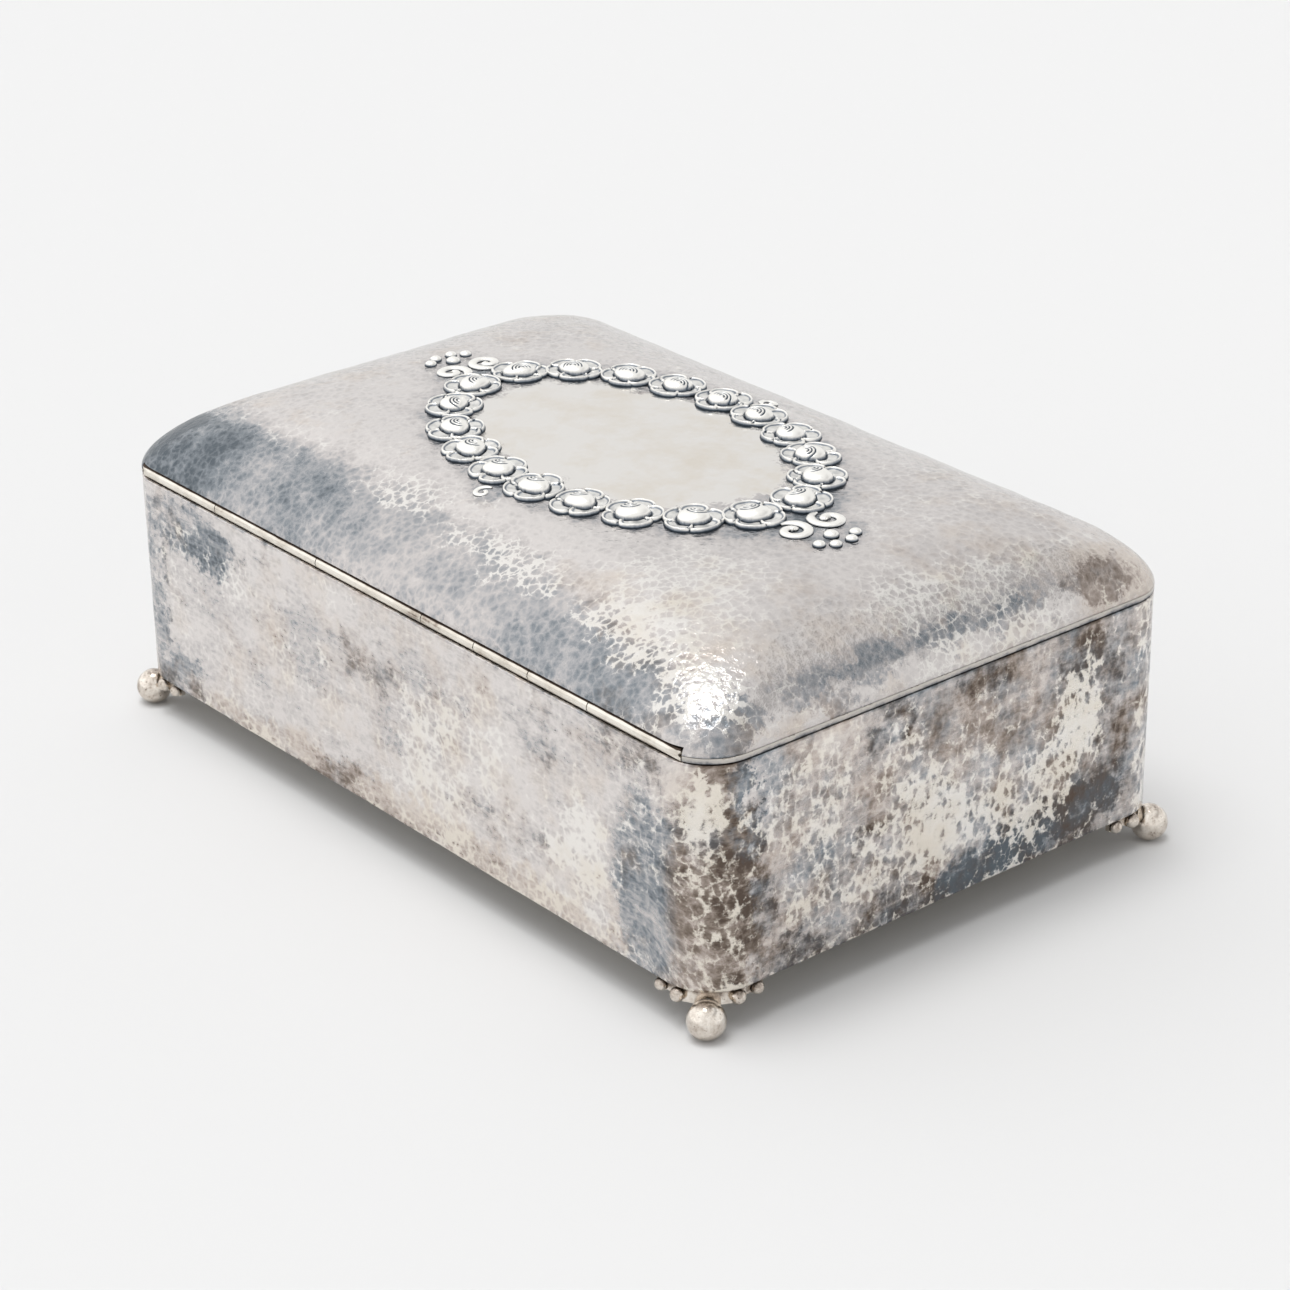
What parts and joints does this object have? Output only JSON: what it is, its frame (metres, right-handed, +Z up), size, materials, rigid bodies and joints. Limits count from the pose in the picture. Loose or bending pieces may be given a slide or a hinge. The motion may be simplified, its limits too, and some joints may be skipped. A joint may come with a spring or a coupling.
{
  "type": "casket",
  "caption": "Oblong silver casket with rounded corners, a hinged domed lid with an applied oval rose garland, and ball feet under the corners.",
  "frame": {"origin": "on the surface that the casket stands on, under the middle of its plan", "axes": "+X along the long side, +Z up, the hinge along the back at +Y and the front at -Y"},
  "size_m": [0.2034, 0.1312, 0.0798],
  "materials": {
    "hammered_silver": "planished silver with a mottled blue-grey and brown tarnish",
    "plain_silver": "smooth drawn silver, dulled",
    "chased_silver": "chased silver, bright on the high places and dark in the recesses",
    "foot_silver": "smooth silver with a warm brown tarnish"
  },
  "bodies": {
    "body": {"body_wall": "hammered_silver", "base_plate": "plain_silver", "rim_bezel": "plain_silver", "body_hinge_bearer": "plain_silver", "hinge_pin": "plain_silver", "hinge_knuckle_1": "plain_silver", "hinge_knuckle_3": "plain_silver", "hinge_knuckle_5": "plain_silver", "hinge_knuckle_7": "plain_silver", "foot_strip_back_left": "foot_silver", "foot_ball_back_left": "foot_silver", "foot_grain_back_left_1": "foot_silver", "foot_grain_back_left_2": "foot_silver", "foot_grain_back_left_3": "foot_silver", "foot_grain_back_left_4": "foot_silver", "foot_strip_back_right": "foot_silver", "foot_ball_back_right": "foot_silver", "foot_grain_back_right_1": "foot_silver", "foot_grain_back_right_2": "foot_silver", "foot_grain_back_right_3": "foot_silver", "foot_grain_back_right_4": "foot_silver", "foot_strip_front_right": "foot_silver", "foot_ball_front_right": "foot_silver", "foot_grain_front_right_1": "foot_silver", "foot_grain_front_right_2": "foot_silver", "foot_grain_front_right_3": "foot_silver", "foot_grain_front_right_4": "foot_silver", "foot_strip_front_left": "foot_silver", "foot_ball_front_left": "foot_silver", "foot_grain_front_left_1": "foot_silver", "foot_grain_front_left_2": "foot_silver", "foot_grain_front_left_3": "foot_silver", "foot_grain_front_left_4": "foot_silver"},
    "lid": {"lid_shell": "hammered_silver", "lid_rim_band": "plain_silver", "lid_hinge_bearer": "plain_silver", "hinge_knuckle_2": "plain_silver", "hinge_knuckle_4": "plain_silver", "hinge_knuckle_6": "plain_silver", "rose_garland": "chased_silver", "side_scroll_back": "chased_silver", "side_scroll_front": "chased_silver", "spray_scroll_left_1": "chased_silver", "spray_scroll_left_2": "chased_silver", "spray_grain_left_1": "chased_silver", "spray_grain_left_2": "chased_silver", "spray_grain_left_3": "chased_silver", "spray_grain_left_4": "chased_silver", "spray_grain_left_5": "chased_silver", "spray_scroll_right_1": "chased_silver", "spray_scroll_right_2": "chased_silver", "spray_grain_right_1": "chased_silver", "spray_grain_right_2": "chased_silver", "spray_grain_right_3": "chased_silver", "spray_grain_right_4": "chased_silver", "spray_grain_right_5": "chased_silver"}
  },
  "joints": [
    {"name": "lid_hinge", "type": "hinge", "parent": "body", "child": "lid", "pos_m": [0, 0.0626, 0.05955], "axis": [-1, 0, 0], "range_deg": [0, 100]}
  ]
}
